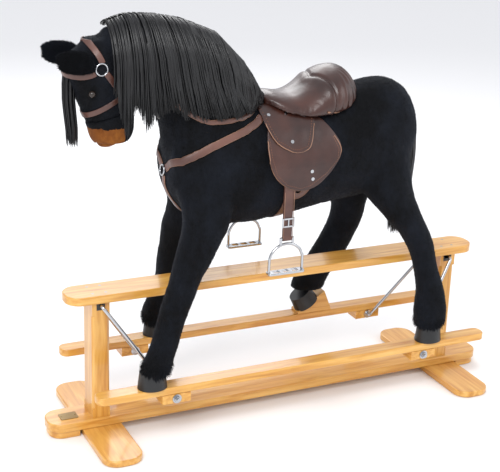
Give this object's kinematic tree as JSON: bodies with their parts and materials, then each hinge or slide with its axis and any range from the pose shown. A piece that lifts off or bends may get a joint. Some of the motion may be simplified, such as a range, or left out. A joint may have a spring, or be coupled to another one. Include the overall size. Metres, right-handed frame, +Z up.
{
  "type": "rocking horse",
  "caption": "Plush riding horse with saddle and bridle, bolted to two rails that swing on bent steel irons in a wooden safety stand.",
  "frame": {"origin": "centre of the stand's base, on the floor", "axes": "+X towards the horse's head, +Y to its left side, +Z up"},
  "size_m": [1.3, 0.461, 1.0634],
  "materials": {
    "wood": "clear lacquered",
    "plate_metal": "dull",
    "zinc": "zinc plated",
    "bearing_plastic": "moulded",
    "chrome": "polished",
    "bush_brass": "turned",
    "frame_paint": "satin",
    "plush": "short pile plush",
    "muzzle_tan": "short pile plush",
    "eye": "gloss",
    "hoof": "satin",
    "hair": "long straight fibre",
    "saddle_leather": "semi gloss",
    "panel_felt": "felt",
    "strap_leather": "semi gloss"
  },
  "bodies": {
    "stand": {"base_beam": "wood", "front_foot": "wood", "rear_foot": "wood", "end_blocks": "wood", "front_post": "wood", "rear_post": "wood", "top_board": "wood", "name_plate": "plate_metal", "top_board_screws": "zinc", "post_bolts": "zinc", "post_bearings": "bearing_plastic"},
    "front_iron": {"front_swing_iron": "chrome", "front_iron_nuts": "chrome"},
    "carriage": {"near_rail": "wood", "far_rail": "wood", "front_pivot_blocks": "wood", "rear_pivot_blocks": "wood", "pivot_bushes": "bush_brass", "block_screws": "zinc", "hoof_bolts": "zinc", "hoof_wedge": "wood", "inner_frame": "frame_paint", "torso": "plush", "neck": "plush", "head": "plush", "muzzle": "muzzle_tan", "eyes": "eye", "ears": "plush", "near_fore_leg": "plush", "far_fore_leg": "plush", "near_hind_leg": "plush", "far_hind_leg": "plush", "fore_hooves": "hoof", "hind_hooves": "hoof", "mane": "hair", "forelock": "hair", "tail": "hair", "saddle_seat": "saddle_leather", "saddle_panels": "panel_felt", "near_flap": "saddle_leather", "far_flap": "saddle_leather", "near_skirt": "saddle_leather", "far_skirt": "saddle_leather", "saddle_rivets": "chrome", "girth": "strap_leather", "breast_straps": "strap_leather", "tack_rings": "chrome", "crownpiece": "strap_leather", "browband": "strap_leather", "throat_strap": "strap_leather", "noseband": "strap_leather", "reins": "strap_leather"},
    "rear_iron": {"rear_swing_iron": "chrome", "rear_iron_nuts": "chrome"},
    "near_leather": {"near_leather": "strap_leather", "near_buckle": "chrome"},
    "near_stirrup": {"near_stirrup": "chrome"},
    "far_leather": {"far_leather": "strap_leather", "far_buckle": "chrome"},
    "far_stirrup": {"far_stirrup": "chrome"}
  },
  "joints": [
    {"name": "front_swing", "type": "hinge", "parent": "stand", "child": "front_iron", "pos_m": [0.514, 0, 0.349], "axis": [0, 1, 0], "range_deg": [-10, 10]},
    {"name": "front_rail_pivot", "type": "hinge", "parent": "front_iron", "child": "carriage", "pos_m": [0.363, 0, 0.13], "axis": [0, 1, 0], "range_deg": [-15, 15]},
    {"name": "rear_rail_pivot", "type": "hinge", "parent": "carriage", "child": "rear_iron", "pos_m": [-0.363, 0, 0.13], "axis": [0, 1, 0], "range_deg": [-15, 15]},
    {"name": "near_leather_swing", "type": "hinge", "parent": "carriage", "child": "near_leather", "pos_m": [0.05, 0.1255, 0.692], "axis": [0, 1, 0], "range_deg": [-12, 12]},
    {"name": "near_stirrup_swing", "type": "hinge", "parent": "near_leather", "child": "near_stirrup", "pos_m": [0.05, 0.1255, 0.5], "axis": [1, 0, 0], "range_deg": [-10, 40]},
    {"name": "far_leather_swing", "type": "hinge", "parent": "carriage", "child": "far_leather", "pos_m": [0.05, -0.1255, 0.692], "axis": [0, 1, 0], "range_deg": [-12, 12]},
    {"name": "far_stirrup_swing", "type": "hinge", "parent": "far_leather", "child": "far_stirrup", "pos_m": [0.05, -0.1255, 0.488], "axis": [1, 0, 0], "range_deg": [-40, 10]}
  ],
  "couplings": [
    {"joint": "front_rail_pivot", "follows": "front_swing", "ratio": -1.416},
    {"joint": "rear_rail_pivot", "follows": "front_swing", "ratio": 1.416}
  ]
}
